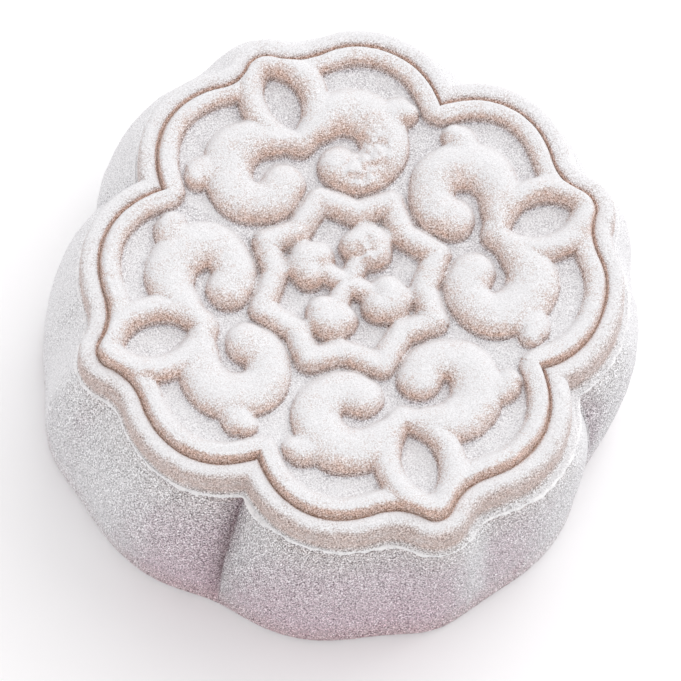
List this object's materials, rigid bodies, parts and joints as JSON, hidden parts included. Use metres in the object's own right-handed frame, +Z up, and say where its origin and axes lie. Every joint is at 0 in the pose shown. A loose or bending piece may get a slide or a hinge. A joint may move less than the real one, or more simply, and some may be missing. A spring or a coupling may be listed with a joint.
{
  "type": "mooncake",
  "caption": "Uncut snow-skin mooncake pressed in a flower mould, with a lobed double rim, paired scrolls, pointed ovals and a star on top, dusted with flour.",
  "frame": {"origin": "on the flat underside, below the centre of the pressed pattern", "axes": "+Z up through the pattern; the rim's pointed tips lie on +X, -X, +Y and -Y and its cusps on the diagonals"},
  "size_m": [0.0677, 0.0682, 0.0284],
  "materials": {
    "floured_dough": "matt snow-skin dough with a thin white dusting of flour"
  },
  "bodies": {
    "root": {"mooncake": "floured_dough"}
  },
  "joints": []
}
